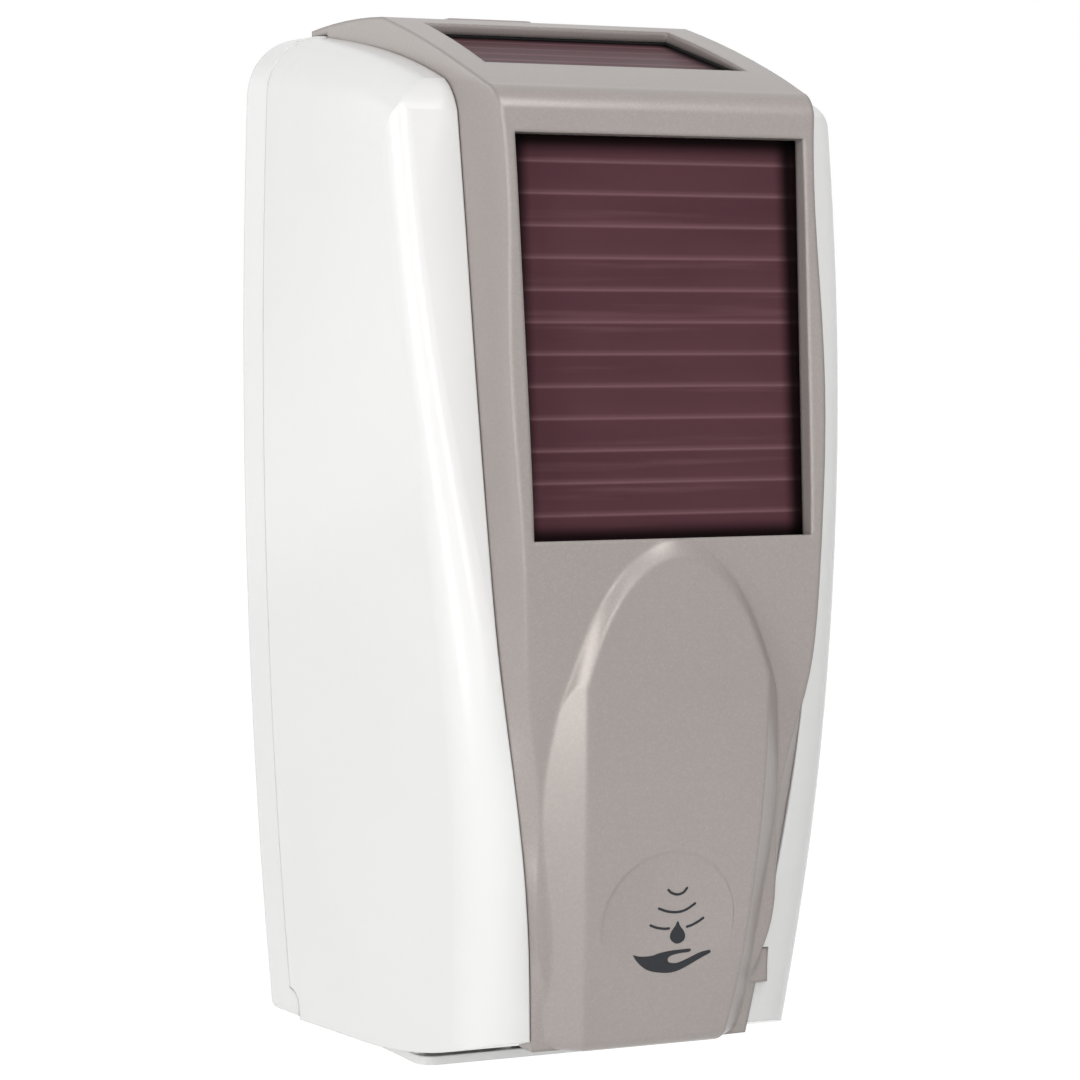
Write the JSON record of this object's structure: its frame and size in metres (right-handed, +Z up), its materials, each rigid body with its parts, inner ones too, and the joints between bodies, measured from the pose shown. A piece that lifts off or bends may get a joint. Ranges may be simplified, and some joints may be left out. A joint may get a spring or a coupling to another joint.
{
  "type": "wall-mounted automatic soap dispenser",
  "caption": "Touch-free wall soap dispenser: white hinged cover, grey front panel with solar windows, refill pump driven by a gear motor and a sensor outlet below.",
  "frame": {"origin": "centre of the wall screw pattern on the flat back face", "axes": "+Z up, +Y into the wall, the front looks along -Y, +X to the viewer's right"},
  "size_m": [0.1348, 0.1419, 0.2902],
  "materials": {
    "white_plastic": "gloss white moulded plastic",
    "grey_pearl_plastic": "warm grey pearl moulded plastic, satin",
    "solar_glass": "dark red amorphous solar cell under glass",
    "gasket_rubber": "black seal rubber",
    "black_plastic": "black moulded plastic",
    "screw_steel": "zinc plated steel screws",
    "pin_steel": "bright steel pins",
    "spring_steel": "spring steel wire",
    "chassis_plastic": "light grey moulded plastic",
    "bottle_plastic": "translucent natural polyethylene",
    "pump_plastic": "white polypropylene",
    "gear_plastic": "ivory acetal",
    "pinion_brass": "brass",
    "motor_steel": "plated steel can",
    "board_laminate": "green circuit laminate",
    "capacitor_sleeve": "dark blue sleeve over aluminium",
    "connector_plastic": "ivory nylon",
    "diode_resin": "dark infra-red epoxy",
    "window_plastic": "dark red infra-red window",
    "cell_sleeve": "sleeved dry cell",
    "contact_metal": "nickel plated strip"
  },
  "bodies": {
    "base": {"back_housing": "white_plastic", "hinge_pins": "pin_steel", "chassis": "chassis_plastic", "chassis_screws": "screw_steel", "refill_bottle": "bottle_plastic", "refill_cap": "pump_plastic", "pump_body": "pump_plastic", "gear_case_base": "chassis_plastic", "gear_case_cover": "chassis_plastic", "gear_case_screws": "screw_steel", "gear_arbors": "pin_steel", "motor": "motor_steel", "control_board": "board_laminate", "board_screws": "screw_steel", "control_chip": "black_plastic", "capacitors": "capacitor_sleeve", "board_connector": "connector_plastic", "switch_body": "black_plastic", "board_cover": "chassis_plastic", "sensor_board": "board_laminate", "ir_emitter": "diode_resin", "ir_receiver": "diode_resin", "sensor_windows": "window_plastic", "outlet_plate": "white_plastic", "outlet_screws": "screw_steel", "battery_box": "chassis_plastic", "battery_cells": "cell_sleeve", "battery_contacts": "contact_metal", "battery_lid": "black_plastic", "battery_screws": "screw_steel", "latch_guide": "chassis_plastic", "latch_spring": "spring_steel", "pump_spring": "spring_steel"},
    "cover": {"side_cover": "white_plastic", "front_panel": "grey_pearl_plastic", "panel_screws": "screw_steel", "front_solar_cell": "solar_glass", "front_cell_gasket": "gasket_rubber", "front_cell_retainer": "black_plastic", "front_cell_screws": "screw_steel", "top_solar_cell": "solar_glass", "top_cell_gasket": "gasket_rubber", "top_cell_retainer": "black_plastic", "top_cell_screws": "screw_steel", "latch_hook": "chassis_plastic"},
    "latch": {"latch_button": "grey_pearl_plastic"},
    "lifter": {"pump_lifter": "gear_plastic"},
    "nozzle": {"pump_nozzle": "pump_plastic"},
    "output_train": {"output_gear": "gear_plastic"},
    "middle_train": {"middle_gear": "gear_plastic"},
    "motor_shaft": {"motor_pinion": "pinion_brass"},
    "dose_slider": {"dose_switch": "black_plastic"}
  },
  "joints": [
    {"name": "cover_hinge", "type": "hinge", "parent": "base", "child": "cover", "pos_m": [0, -0.0133, -0.1344], "axis": [1, 0, 0], "range_deg": [0, 90]},
    {"name": "latch_press", "type": "slide", "parent": "base", "child": "latch", "axis": [0, 0, -1], "range_m": [0, 0.003], "stiffness_N_per_m": 300, "springref_m": -0.002, "deforming": ["latch_spring"]},
    {"name": "lifter_lift", "type": "slide", "parent": "base", "child": "lifter", "axis": [0, 0, 1], "range_m": [0, 0.01]},
    {"name": "nozzle_lift", "type": "slide", "parent": "base", "child": "nozzle", "axis": [0, 0, 1], "range_m": [0, 0.01], "deforming": ["pump_spring"]},
    {"name": "output_spin", "type": "hinge", "parent": "base", "child": "output_train", "pos_m": [0.0268, -0.035, -0.091], "axis": [0, -1, 0], "range_deg": [-120.5, 0]},
    {"name": "middle_spin", "type": "hinge", "parent": "base", "child": "middle_train", "pos_m": [0.0376, -0.035, -0.07813], "axis": [0, -1, 0], "range_deg": [0, 300]},
    {"name": "motor_spin", "type": "hinge", "parent": "base", "child": "motor_shaft", "pos_m": [0.03906, -0.045, -0.09487], "axis": [0, -1, 0], "range_deg": [-750, 0]},
    {"name": "dose_slide", "type": "slide", "parent": "base", "child": "dose_slider", "axis": [1, 0, 0], "range_m": [0, 0.003]}
  ],
  "couplings": [
    {"joint": "nozzle_lift", "follows": "lifter_lift", "ratio": 1},
    {"joint": "output_spin", "follows": "lifter_lift", "rad_per_m": -208.33},
    {"joint": "middle_spin", "follows": "lifter_lift", "rad_per_m": 520.83},
    {"joint": "motor_spin", "follows": "lifter_lift", "rad_per_m": -1302.1}
  ]
}
